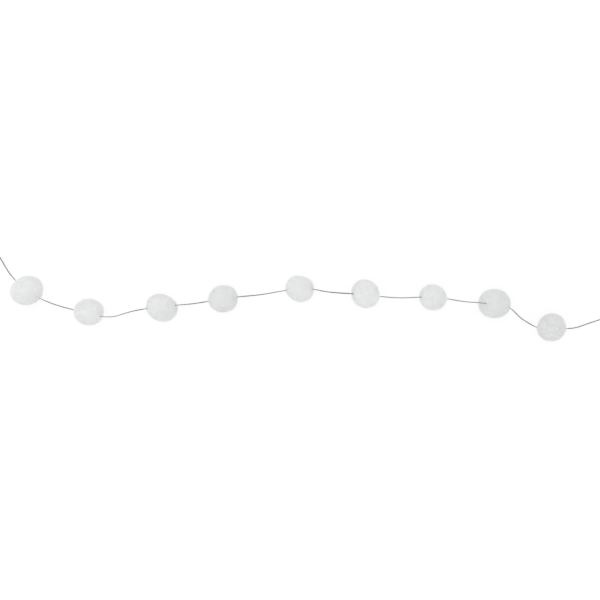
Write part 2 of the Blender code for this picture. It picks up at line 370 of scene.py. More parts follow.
@dataclass
class GroupBuilder(TreeBuilder):
    """Builds a node group with named inputs and outputs."""

    entry: Wire = field(init=False)
    way_out: Wire = field(init=False)

    def __post_init__(self) -> None:
        """Adds the group's own input and output nodes."""
        self.entry = self.add("NodeGroupInput")
        self.way_out = self.add("NodeGroupOutput")

    def takes(self, name: str, kind: Kind, default: Value = None) -> Wire:
        """Adds a named input.

        Args:
            name: the input's name.
            kind: what it takes.
            default: its value where nothing else is set.

        Returns:
            What carries it inside the group.
        """
        socket = self.tree.interface.new_socket(name, in_out="INPUT", socket_type=kind.value)
        if default is not None:
            socket.default_value = default
        return self.entry[name]

    def takes_sizes(self, owner: object, names: Iterable[str]) -> list[Wire]:
        """Adds a named input for each of these sizes of an owner."""
        return [self.takes(name, Kind.FLOAT, value) for name, value in sizes_of(owner, names).items()]

    def gives(self, name: str, kind: Kind, value: Wire) -> None:
        """Adds a named output that carries this value."""
        self.tree.interface.new_socket(name, in_out="OUTPUT", socket_type=kind.value)
        self.feed(self.way_out.node, {name: value})


@dataclass
class GeometryBuilder(GroupBuilder):
    """Builds a Geometry Nodes tree."""

    def attribute(self, name: str, kind: str = "FLOAT") -> Wire:
        """Returns what is stored on the geometry under a name."""
        return self.add("GeometryNodeInputNamedAttribute", {"Name": name}, data_type=kind)

    def stored(
        self, geometry: Wire, name: str, value: Wire, kind: str = "FLOAT", domain: str = "POINT"
    ) -> Wire:
        """Returns the geometry with a value stored on it under a name."""
        inputs = {0: geometry, "Name": name, 3: value}
        return self.add("GeometryNodeStoreNamedAttribute", inputs, data_type=kind, domain=domain)

    def random(self, low: float, high: float, seed: Wire) -> Wire:
        """Returns a random number from low to high for each point."""
        inputs = {2: low, 3: high, "Seed": seed}
        return self.add("FunctionNodeRandomValue", inputs, data_type="FLOAT")[1]

    def finished(self, name: str, mesh: Wire, finish: Wire) -> bpy.types.NodeTree:
        """Gives the mesh, dressed in its finish, and returns the tree."""
        self.gives(name, Kind.GEOMETRY, self.add("GeometryNodeSetMaterial", {0: mesh, "Material": finish}))
        return self.tree

    def bared(self, geometry: Wire, names: Iterable[str]) -> Wire:
        """Takes named attributes off the geometry.

        Args:
            geometry: what they are stored on.
            names: the attributes' names.

        Returns:
            The geometry without them.
        """
        for name in names:
            geometry = self.add("GeometryNodeRemoveAttribute", {0: geometry, "Name": name})
        return geometry


class MaterialBuilder(TreeBuilder):
    """Builds a material round its Principled shader.

    Attributes:
        material: the material.
        shader: its Principled shader.
    """

    def __init__(self, name: str, constants: Mapping[str, Value]) -> None:
        """Starts the material.

        Args:
            name: its name.
            constants: what the shader's own sockets are set to.
        """
        self.material = bpy.data.materials.new(name)
        self.material.use_nodes = True
        super().__init__(self.material.node_tree)
        self.shader = self.tree.nodes["Principled BSDF"]
        self.feed(self.shader, constants)

    def raised(self, height: Wire, strength: float, distance: float) -> None:
        """Raises the surface by a height, as a bump."""
        bump = self.add("ShaderNodeBump", {"Strength": strength, "Distance": distance, "Height": height})
        self.feed(self.shader, {"Normal": bump})


def grow(
    name: str, base: bpy.types.Mesh, tree: bpy.types.NodeTree, values: Mapping[str, object]
) -> bpy.types.Object:
    """Runs a Geometry Nodes tree on a mesh and keeps what it makes as a plain mesh.

    Args:
        name: the name of the piece.
        base: the mesh that the tree starts from.
        tree: the Geometry Nodes tree.
        values: the tree's inputs, by name.

    Returns:
        The piece, with no modifier left on it.
    """
    obj = add_object(name, base)
    modifier = obj.modifiers.new(tree.name, "NODES")
    modifier.node_group = tree
    for item in tree.interface.items_tree:
        if item.item_type == "SOCKET" and item.in_out == "INPUT" and item.name in values:
            modifier[item.identifier] = values[item.name]
    mesh = evaluated_mesh(obj, name)
    obj.modifiers.remove(modifier)
    obj.data = mesh
    return obj


@dataclass(frozen=True)
class PlushFinish:
    """Soft white polyester plush: a felted ground and the locks of its pile."""

    colour: tuple[float, float, float] = (0.935, 0.94, 0.94)  # the fibre's own colour
    mottle: float = 0.05  # how much the ground's colour wanders
    patch_size: float = 9.0 * MM  # how wide the ground's softly darker patches are
    patch_detail: float = 2.0  # how many finer layers they have
    tuft_size: float = 0.7 * MM  # how wide the small tufts of the ground are
    tuft_detail: float = 3.0  # how many finer layers those have
    relief: float = 0.35 * MM  # how high those tufts stand
    bump: float = 0.6  # how strongly they show
    root_shade: float = 0.95  # how light a lock is at its root, where its tip is 1: painted shade deep in the pile
    root_height: float = 0.7  # the share of a lock's height at which it is as light as its tip
    lock_variation: float = 0.06  # how much one lock differs from the next
    lock_scale: float = 30.0  # how quickly their shades change across the colour map
    roughness: float = 0.95  # of both
    specular: float = 0.2  # how much both gleam
    sheen: float = 0.12  # the soft light that the fibres' ends catch
    sheen_roughness: float = 0.45  # how widely that light spreads

    def ground_group(self) -> bpy.types.NodeTree:
        """Builds the group that colours and raises a felted ground.

        Returns:
            A shader group with the outputs Colour and Height.
        """
        group = GroupBuilder(bpy.data.node_groups.new("felted_ground", "ShaderNodeTree"))
        fibre = group.takes("Fibre", Kind.COLOUR, (*self.colour, 1.0))
        mottle, patch, tuft = group.takes_sizes(self, ("Mottle", "Patch Size", "Tuft Size"))
        place = group.add("ShaderNodeTexCoord")["Object"]
        broad = group.noise(place, patch, self.patch_detail)
        fine = group.noise(place, tuft, self.tuft_detail)
        group.gives("Colour", Kind.COLOUR, group.scaled(fibre, 1.0 - (broad + fine) * mottle))
        group.gives("Height", Kind.FLOAT, fine)
        return group.tree

    def lock_group(self) -> bpy.types.NodeTree:
        """Builds the group that colours the locks: darker at the root, as painted shade deep in the pile, and
        each a little different.

        Returns:
            A shader group with the output Colour.
        """
        group = GroupBuilder(bpy.data.node_groups.new("pile_locks", "ShaderNodeTree"))
        fibre = group.takes("Fibre", Kind.COLOUR, (*self.colour, 1.0))
        root, variation = group.takes_sizes(self, ("Root Shade", "Lock Variation"))
        own, up, _ = group.parts(group.add("ShaderNodeUVMap", uv_map=COLOUR_MAP))
        inputs = {"W": own, "Scale": self.lock_scale}
        wander = group.add("ShaderNodeTexNoise", inputs, noise_dimensions="1D")
        # Painted shade: each lock is darker towards its root, where the pile is deepest.
        painted_root_shade = group.ranged(up, 0.0, self.root_height, root, 1.0)
        group.gives("Colour", Kind.COLOUR, group.scaled(fibre, (1.0 - wander * variation) * painted_root_shade))
        return group.tree

    def material(self, name: str, tone: float, group: bpy.types.NodeTree) -> bpy.types.Material:
        """Makes a plush material, which is raised where its group gives a height.

        Args:
            name: the material's name.
            tone: how light this ball is beside the others.
            group: the shader group that colours it.

        Returns:
            The material.
        """
        constants = {
            "Roughness": self.roughness,
            "Specular IOR Level": self.specular,
            "Sheen Weight": self.sheen,
            "Sheen Roughness": self.sheen_roughness,
        }
        builder = MaterialBuilder(name, constants)
        fibre = tuple(channel * tone for channel in self.colour)
        colouring = builder.add("ShaderNodeGroup", {"Fibre": (*fibre, 1.0)}, node_tree=group)
        builder.feed(builder.shader, {"Base Color": colouring["Colour"]})
        if "Height" in colouring.node.outputs:
            builder.raised(colouring["Height"], self.bump, self.relief)
        return builder.material


@dataclass(frozen=True)
class SilverYarn:
    """Silver metallic yarn, as bundles of fine bright filaments."""

    light: tuple[float, float, float] = (0.315, 0.315, 0.325)  # the colour of the filaments' crests
    dark: tuple[float, float, float] = (0.105, 0.105, 0.11)  # the colour of the grooves between them, painted shade
    filaments: float = 7.0  # how many stripes of filament go round one ply
    slant: float = 9.0  # how many times those stripes go round a ply in one repeat
    glints: float = 48.0  # how many painted glinting spots, lighter and darker, fall along one repeat
    glint_low: float = 0.72  # how light the dullest spot is, where 1 is the filament's own colour
    glint_high: float = 1.18  # how light the brightest one is
    glint_roughness: float = 0.2  # how much rougher the brightest spot is
    relief: float = 0.05 * MM  # how deep the grooves are
    bump: float = 0.8  # how strongly they show
    metallic: float = 0.75  # how much of it is metal
    crest_roughness: float = 0.38  # how rough the filaments' crests are

    def filament_group(self) -> bpy.types.NodeTree:
        """Builds the group that draws filaments along a ply, with painted shade in the grooves between them
        and painted glints.

        Returns:
            A shader group with the outputs Colour, Height and Roughness.
        """
        group = GroupBuilder(bpy.data.node_groups.new("silver_filaments", "ShaderNodeTree"))
        light = group.takes("Light", Kind.COLOUR, (*self.light, 1.0))
        dark = group.takes("Dark", Kind.COLOUR, (*self.dark, 1.0))
        names = ("Filaments", "Slant", "Glints", "Crest Roughness")
        filaments, slant, glints, roughness = group.takes_sizes(self, names)
        round_it, along, _ = group.parts(group.add("ShaderNodeUVMap", uv_map=COLOUR_MAP))
        turns = round_it * filaments + along * slant
        crest = group.maths("SINE", turns * TURN) * 0.5 + 0.5
        # Painted glints: spots along the ply are made lighter or darker in colour.
        step = group.maths("FLOOR", group.maths("FRACT", along) * glints)
        strand = group.maths("FLOOR", group.maths("FRACT", turns) * 2.0)
        inputs = {"Vector": group.joined(step, strand)}
        spot = group.add("ShaderNodeTexWhiteNoise", inputs, noise_dimensions="2D")
        painted_glint = group.ranged(spot, 0.0, 1.0, self.glint_low, self.glint_high)
        # Painted shade: the grooves between the filaments are coloured dark.
        mixed = group.add("ShaderNodeMix", {0: crest, 6: dark, 7: light}, data_type="RGBA")[2]
        group.gives("Colour", Kind.COLOUR, group.scaled(mixed, painted_glint))
        group.gives("Height", Kind.FLOAT, crest)
        group.gives("Roughness", Kind.FLOAT, roughness + spot * self.glint_roughness)
        return group.tree

    def material(self) -> bpy.types.Material:
        """Makes the yarn's material, which the string, its knots and its loops share.

        Returns:
            The material.
        """
        builder = MaterialBuilder("silver_yarn", {"Metallic": self.metallic})
        yarn = builder.add("ShaderNodeGroup", node_tree=self.filament_group())
        builder.feed(builder.shader, {"Base Color": yarn["Colour"], "Roughness": yarn["Roughness"]})
        builder.raised(yarn["Height"], self.bump, self.relief)
        return builder.material


@dataclass
class Route:
    """The middle line of the string, from its left knot to its right one."""

    steps: int = 8  # points for each stretch between two of the route's own
    fine_steps: int = 6  # how many times finer the line is divided to measure from
    margin: float = 20.0 * MM  # how far beyond what is measured the line is looked at
    tuck: float = 1.4 * MM  # how far each end is tucked into its knot
    line: np.ndarray = field(init=False)  # the points of the line, one a row

    def __post_init__(self) -> None:
        """Works out the line."""
        self.line = smooth_curve(np.array(ROUTE), self.steps)

    def heading(self, side: Side) -> float:
        """Returns the way in which the string runs out at this end, in radians from +X."""
        end, before = (self.line[0], self.line[1]) if side is Side.LEFT else (self.line[-1], self.line[-2])
        return math.atan2(end[1] - before[1], end[0] - before[0])

    def tucked(self) -> np.ndarray:
        """Carries both ends of the line on into their knots.

        Returns:
            The points of the longer line, one a row.
        """
        ends = []
        for side, end in ((Side.LEFT, self.line[0]), (Side.RIGHT, self.line[-1])):
            way = self.heading(side)
            ends.append(end + self.tuck * np.array((math.cos(way), math.sin(way), 0.0)))
        return np.vstack((ends[0], self.line, ends[1]))

    def nearest(self, points: np.ndarray) -> np.ndarray:
        """Finds the place on the line that is nearest to each point.

        Args:
            points: the points to measure from, one a row.

        Returns:
            One place for each point.
        """
        low, high = points.min(0)[0] - self.margin, points.max(0)[0] + self.margin
        fine = smooth_curve(self.line, self.fine_steps)
        near = fine[(fine[:, 0] > low) & (fine[:, 0] < high)]
        best = np.full(len(points), np.inf)
        found = np.zeros_like(points)
        for place in near:
            away = np.linalg.norm(points - place, axis=1)
            closer = away < best
            best[closer] = away[closer]
            found[closer] = place
        return found

    def distance(self, points: np.ndarray) -> np.ndarray:
        """Returns how far each point is from the line."""
        return np.linalg.norm(points - self.nearest(points), axis=1)


@dataclass
class TwistedCord:
    """A cord laid up from plies that wind round each other."""

    # Which of the tree's inputs are sizes of this class.
    SIZES: ClassVar[tuple[str, ...]] = (
        "Ply Radius", "Lay Radius", "Pitch", "Step", "Repeat", "Rest", "Slub", "Slub Length", "Slub Course"
    )

    material: bpy.types.Material  # the finish of its plies
    plies: int = 2  # how many there are
    ply_radius: float = 0.385 * MM  # of one ply
    lay_radius: float = 0.38 * MM  # from the cord's middle line to a ply's
    pitch: float = 6.0 * MM  # how far the cord runs in one full turn of its plies
    step: float = 0.5 * MM  # how far apart the rings of a ply's mesh stand
    sides: int = 6  # how many faces go round a ply
    repeat: float = 12.0 * MM  # the length of cord that its pattern repeats on
    rest: float = 0.05 * MM  # the height above the surface at which its plies are pressed flat
    slub: float = 0.24  # how much thinner and thicker than the mean the string is in places
    slub_length: float = 80.0 * MM  # over about what length its thickness changes so
    slub_course: float = 4.5  # which of many such courses it takes
    # The lowest and highest noise that still thicken and thin it.
    slub_range: tuple[float, float] = (0.2, 0.8)
    # The Geometry Nodes tree that every length of this cord uses.
    tree: bpy.types.NodeTree = field(init=False)

    def __post_init__(self) -> None:
        """Builds the tree."""
        self.tree = self._build_tree()

    def _build_tree(self) -> bpy.types.NodeTree:
        """Builds the tree that lays plies round a line.

        Returns:
            A Geometry Nodes tree that turns a mesh of edges into a twisted cord.
        """
        group = GeometryBuilder(bpy.data.node_groups.new("twisted_cord", "GeometryNodeTree"))
        line = group.takes("Line", Kind.GEOMETRY)
        plies = group.takes("Plies", Kind.INTEGER)
        sides = group.takes("Sides", Kind.INTEGER)
        finish = group.takes("Finish", Kind.MATERIAL)
        sizes = group.takes_sizes(self, self.SIZES)
        ply_radius, lay_radius, pitch, step, repeat, rest, slub, slub_length, slub_course = sizes

        curve = group.add("GeometryNodeMeshToCurve", {"Mesh": line})
        even = group.add("GeometryNodeResampleCurve", {"Curve": curve, "Length": step}, mode="LENGTH")
        inputs = {"Geometry": even, "Amount": plies}
        copies = group.add("GeometryNodeDuplicateElements", inputs, domain="SPLINE")
        run = group.add("GeometryNodeSplineParameter")["Length"]
        angle = (run / pitch + copies["Duplicate Index"] / plies) * TURN
        aside = group.add("GeometryNodeInputNormal")
        ahead = group.add("GeometryNodeInputTangent")
        up = group.vector_maths("CROSS_PRODUCT", ahead, aside)
        level = group.scaled(aside, group.maths("COSINE", angle))
        offset = group.vector_maths("ADD", level, group.scaled(up, group.maths("SINE", angle)))
        x, y, z = group.parts(group.add("GeometryNodeInputPosition"))
        inputs = {"W": x / slub_length + slub_course, "Scale": 1.0, "Detail": 0.0}
        slow = group.add("ShaderNodeTexNoise", inputs, noise_dimensions="1D")
        uneven = group.ranged(slow, *self.slub_range, 1.0, -1.0) * slub + 1.0
        girth = uneven * group.attribute("girth")
        marked = group.stored(copies, "along", run / repeat)
        inputs = {0: marked, "Offset": group.scaled(offset, lay_radius * girth)}
        laid = group.add("GeometryNodeSetPosition", inputs)
        ring = group.add("GeometryNodeCurvePrimitiveCircle", {"Resolution": sides, "Radius": ply_radius})
        numbered = group.stored(ring, "corner", group.add("GeometryNodeInputIndex"))
        inputs = {"Curve": laid, "Profile Curve": numbered, "Scale": girth, "Fill Caps": True}
        tube = group.add("GeometryNodeCurveToMesh", inputs)
        # A ring's last face joins its last corner to its first, which counts as one past the last there.
        corner = group.attribute("corner")
        mean = group.add("GeometryNodeFieldOnDomain", {0: corner}, data_type="FLOAT", domain="FACE")
        closing = group.maths("LESS_THAN", corner, 0.5) * group.maths("GREATER_THAN", mean, 1.0)
        on_map = group.joined(corner / sides + closing, group.attribute("along"))
        mapped = group.stored(tube, COLOUR_MAP, on_map, "FLOAT2", "CORNER")
        bare = group.bared(mapped, ("along", "corner", "girth"))
        pressed = group.joined(x, y, group.maths("MAXIMUM", z, rest))
        lying = group.add("GeometryNodeSetPosition", {0: bare, "Position": pressed})
        smooth = group.add("GeometryNodeSetShadeSmooth", {0: lying})
        return group.finished("Cord", group.add("GeometryNodeRealizeInstances", {0: smooth}), finish)

    def lay(
        self,
        name: str,
        line: np.ndarray,
        slub: float = 0.0,
        girth: np.ndarray | None = None,
        fineness: float = 1.0,
    ) -> bpy.types.Object:
        """Lays the cord along a line.

        Args:
            name: the name of the piece.
            line: the points of its middle line, one a row.
            slub: how much its thickness wanders.
            girth: how thick it is at each point, where 1 is its own thickness.
            fineness: how many rings stand where one would on the plain string.

        Returns:
            The finished length of cord, as a plain mesh.
        """
        mesh = bpy.data.meshes.new(name)
        edges = [(i, i + 1) for i in range(len(line) - 1)]
        mesh.from_pydata([tuple(place) for place in line], edges, [])
        note(mesh, "girth", np.ones(len(line)) if girth is None else girth)
        values = sizes_of(self, (*self.SIZES, "Plies", "Sides"))
        values.update({"Step": self.step / fineness, "Slub": slub, "Finish": self.material})
        piece = grow(name, mesh, self.tree, values)
        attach(piece, BODY)
        report(piece)
        return piece


@dataclass
class TiedEnd:
    """The hanging loop at one end of the string, and the knot that ties it."""

    side: Side  # the end that it is at
    cord: TwistedCord  # what it is made of
    heading: float  # the way in which the string runs into it, in radians from +X
    turn_deg: float  # how far the loop turns off that way
    loop_length: float = 24.0 * MM  # from the knot to the loop's far end
    loop_width: float = 11.0 * MM  # across its widest place
    loop_neck: float = 2.1 * MM  # between the loop's two legs where they leave the knot
    loop_fullness: float = 1.3  # makes up for the width that the tear shape's taper takes
    loop_points: int = 73  # how many points the loop's line has
    loop_tuck: float = 0.6 * MM  # how far from the knot's middle, both ways, each leg ends
    turn_by: float = 0.62  # share of the loop's length by which it has turned
    fall_by: float = 0.4  # share of its length by which it has come down to the surface
    lie: float = 0.76 * MM  # height of the loop's middle line where it lies on the surface
    reach: float = 2.818 * MM  # from the knot's middle to where the loop's legs leave it
    wraps: int = 3  # how many times the cord goes round the legs in the knot
    wrap_points: int = 10  # how many points each wrap's line has
    wrap_width: float = 1.62 * MM  # half the width of those wraps' middle line
    wrap_height: float = 1.13 * MM  # half its height
    wrap_pitch: float = 1.28 * MM  # from one wrap to the next
    wrap_lead: float = 0.5 * MM  # how far inside the knot's face the wraps' line starts
    tag_length: float = 6.0 * MM  # how far the cut end stands out of the knot
    # Shares of that length at which the cut end has points, and how far it bends by then.
    tag_course: tuple[tuple[float, float], ...] = ((0.3, 0.02), (0.65, 0.16), (1.0, 0.42))
    smoothing: int = 5  # how many times finer the wraps' line is divided
    loop_fineness: float = 1.4  # how many rings stand in the loop where one would on the plain string
    knot_fineness: float = 2.5  # how many stand in the knot

    def middle(self) -> np.ndarray:
        """Returns the middle of the knot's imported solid."""
        low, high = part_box(f"knot_{self.side.value}")
        return np.array((low + high) / 2)

    def way(self, off: float = 0.0) -> np.ndarray:
        """Returns the unit vector of the string's way, turned by off radians."""
        return np.array((math.cos(self.heading + off), math.sin(self.heading + off), 0.0))

    def loop_line(self) -> np.ndarray:
        """Works out the middle line of the tear-shaped loop.

        Returns:
            Its points, from inside the knot, round the loop and back into the knot.
        """
        middle = self.middle()
        start = middle + self.way() * self.reach
        rise = middle[2] - self.lie
        turn = math.radians(self.turn_deg)
        found = []
        for angle in np.linspace(0.0, TURN, self.loop_points):
            share = (1 - math.cos(angle)) / 2
            tear = self.loop_fullness * math.sin(angle) * math.sin(angle / 2) ** 2
            aside = self.loop_neck / 2 * math.cos(angle / 2) + self.loop_width / 2 * tear
            way = self.way(turn * min(1.0, share / self.turn_by))
            place = start + way * self.loop_length * share + left_of(way) * aside
            place[2] = self.lie + rise * max(0.0, 1 - share / self.fall_by) ** 2
            found.append(place)
        inside = middle + self.way() * self.loop_tuck
        legs = [inside + left_of(self.way()) * side * self.loop_tuck for side in (1, -1)]
        return np.array([legs[0], *found, legs[1]])

    def knot_line(self) -> np.ndarray:
        """Works out the middle line of the knot's wraps and its short cut end.

        Returns:
            Its points, from inside the knot, round the wraps and out along the surface.
        """
        length = self.wraps * self.wrap_pitch
        local = [np.array((length / 2 - self.wrap_lead, 0.0, 0.0))]
        steps = self.wrap_points * self.wraps
        for step in range(2, steps + 1):
            # It ends below, going sideways, so that the cut end runs out flat on the surface.
            angle = TURN * (step / self.wrap_points - 1 / 4)
            x = length / 2 - length * step / steps
            local.append(np.array((x, self.wrap_width * math.cos(angle), self.wrap_height * math.sin(angle))))
        end = local[-1]
        for share, bend in self.tag_course:
            local.append(end + np.array((-bend, share, 0.0)) * self.tag_length)
        ahead, across, up = self.way(), left_of(self.way()), np.array((0.0, 0.0, 1.0))
        points = [self.middle() + ahead * x + across * y + up * z for x, y, z in local]
        return smooth_curve(np.array(points), self.smoothing)

    def make(self) -> tuple[bpy.types.Object, bpy.types.Object]:
        """Makes the knot and the loop.

        Returns:
            The knot and the loop.
        """
        knot = self.cord.lay(f"{self.side.value}_knot", self.knot_line(), fineness=self.knot_fineness)
        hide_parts(f"knot_{self.side.value}")
        loop = self.cord.lay(f"{self.side.value}_loop", self.loop_line(), fineness=self.loop_fineness)
        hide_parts(f"loop_{self.side.value}")
        return knot, loop


@dataclass
class Pile:
    """The plush pile: short, fine, tapering locks that stand close together on a ball's body."""

    # Which of the tree's inputs are sizes of this class.
    SIZES: ClassVar[tuple[str, ...]] = (
        "Spacing", "Length", "Thickness", "Lean", "Scatter", "Clump", "Ground"
    )
    NOTES: ClassVar[tuple[str, ...]] = ("cover", "nap", "over")  # what a body holds for its pile

    spacing: float = 0.25 * MM  # the least distance between two locks
    most: float = 1.0e7  # how many locks may be tried for on a square metre
    length: float = 1.4 * MM  # of a lock
    shortest: float = 0.8  # how long the shortest is, where the mean is near 1
    longest: float = 1.12  # how long the longest is
    thickness: float = 0.27 * MM  # of a lock at its root
    lean: float = 0.8  # how strongly neighbouring locks lean together
    scatter: float = 0.7  # how strongly each lock leans its own way
    clump: float = 2.2 * MM  # how wide a clump of locks that lean together is
    clump_detail: float = 1.0  # how many finer layers clumps have
    ground: float = 0.15 * MM  # the lowest that a tip may reach
    least_flat: float = 0.001  # the least sideways share that a lock laid over is widened from
    strip_width: float = 0.012  # half the width of one lock's strip of the colour map
    strip_edge: float = 0.03  # how far the strips stay off the map's left and right edges
    strip_end: float = 0.02  # how far they stay off its lower and upper ones
    tree: bpy.types.NodeTree = field(init=False)  # the Geometry Nodes tree that every ball's pile uses

    def __post_init__(self) -> None:
        """Builds the tree."""
        self.tree = self._build_tree()

    def _lock(self, group: GeometryBuilder, length: Wire, thickness: Wire) -> Wire:
        """Adds the nodes of one lock, which stands at the origin along +Z.

        Args:
            group: the tree that it is built in.
            length: of the lock.
            thickness: at its root.

        Returns:
            What carries its mesh.
        """
        radius = thickness * 0.5
        inputs = {"Vertices": 3, "Side Segments": 1, "Fill Segments": 1}
        inputs.update({"Radius Top": 0.0, "Radius Bottom": radius, "Depth": length})
        cone = group.add("GeometryNodeMeshCone", inputs)
        _, y, z = group.parts(group.add("GeometryNodeInputPosition"))
        return group.stored(cone, "on_lock", group.joined(y / radius, z / length), "FLOAT_VECTOR")

    def _held(self, group: GeometryBuilder, aim: Wire, lowest: Wire) -> Wire:
        """Lays a lock over until its tip clears the surface that the ball lies on.

        Args:
            group: the tree that it is built in.
            aim: the way in which the lock would stand.
            lowest: the least that this way may rise.

        Returns:
            The way in which it stands.
        """
        x, y, z = group.parts(aim)
        rise = group.maths("MAXIMUM", z, lowest)
        flat = group.maths("SQRT", group.maths("POWER", x, 2.0) + group.maths("POWER", y, 2.0))
        room = group.maths("SQRT", group.maths("MAXIMUM", 1.0 - rise * rise, 0.0))
        widen = room / group.maths("MAXIMUM", flat, self.least_flat)
        return group.joined(x * widen, y * widen, rise)

    def _build_tree(self) -> bpy.types.NodeTree:
        """Builds the tree that grows locks on a body.

        Returns:
            A Geometry Nodes tree that turns a ball's body into its pile.
        """
        group = GeometryBuilder(bpy.data.node_groups.new("plush_pile", "GeometryNodeTree"))
        body = group.takes("Body", Kind.GEOMETRY)
        sizes = group.takes_sizes(self, self.SIZES)
        spacing, length, thickness, lean, scatter, clump, ground = sizes
        seed = group.takes("Seed", Kind.INTEGER)
        finish = group.takes("Finish", Kind.MATERIAL)

        inputs = {"Mesh": body, "Distance Min": spacing, "Density Max": self.most, "Seed": seed}
        inputs["Density Factor"] = group.attribute("cover")
        roots = group.add("GeometryNodeDistributePointsOnFaces", inputs, distribute_method="POISSON")
        place = group.add("GeometryNodeInputPosition")
        shaded = group.stored(roots, "shade", group.random(0.0, 1.0, seed))
        # Neighbours lean together, each a little its own way, and beside the string they close over it.
        shared = group.vector_maths("SUBTRACT", group.noise(place, clump, self.clump_detail)[1], NOISE_MEAN)
        inputs = {0: (-1.0, -1.0, -1.0), 1: (1.0, 1.0, 1.0), "Seed": seed + 1.0}
        own = group.add("FunctionNodeRandomValue", inputs, data_type="FLOAT_VECTOR")
        leaning = group.vector_maths("ADD", group.scaled(shared, lean * 2.0), group.scaled(own, scatter))
        leaning = group.vector_maths("ADD", leaning, group.attribute("over", "FLOAT_VECTOR"))
        aim = group.vector_maths("NORMALIZE", group.vector_maths("ADD", roots["Normal"], leaning))
        tall = group.random(self.shortest, self.longest, seed + 2.0) * group.attribute("nap")
        lowest = (ground - group.parts(place)[2]) / (tall * length)
        held = self._held(group, aim, lowest)
        stood = group.add("FunctionNodeAlignRotationToVector", {"Vector": held}, axis="Z")
        inputs = {"Axis": (0.0, 0.0, 1.0), "Angle": group.random(0.0, TURN, seed + 3.0)}
        inputs = {"Rotation": stood, "Rotate By": group.add("FunctionNodeAxisAngleToRotation", inputs)}
        turned = group.add("FunctionNodeRotateRotation", inputs, rotation_space="LOCAL")
        inputs = {"Points": shaded, "Instance": self._lock(group, length, thickness)}
        inputs.update({"Rotation": turned, "Scale": group.joined(1.0, 1.0, tall)})
        locks = group.add("GeometryNodeInstanceOnPoints", inputs)
        real = group.add("GeometryNodeRealizeInstances", {0: locks})
        # Each lock has its own narrow upright strip of the colour map.
        side, up, _ = group.parts(group.attribute("on_lock", "FLOAT_VECTOR"))
        strip = group.inset(group.attribute("shade"), self.strip_edge)
        height = group.inset(up, self.strip_end)
        on_map = group.joined(strip + side * self.strip_width, height)
        mapped = group.stored(real, COLOUR_MAP, on_map, "FLOAT2", "CORNER")
        return group.finished("Pile", group.bared(mapped, ("shade", "on_lock", *self.NOTES)), finish)

    def grow_on(
        self, name: str, body: bpy.types.Mesh, seed: int, material: bpy.types.Material
    ) -> bpy.types.Object:
        """Grows the pile on a ball's noted body, with this seed for all that is random in it."""
        return grow(name, body, self.tree, {**sizes_of(self, self.SIZES), "Seed": seed, "Finish": material})


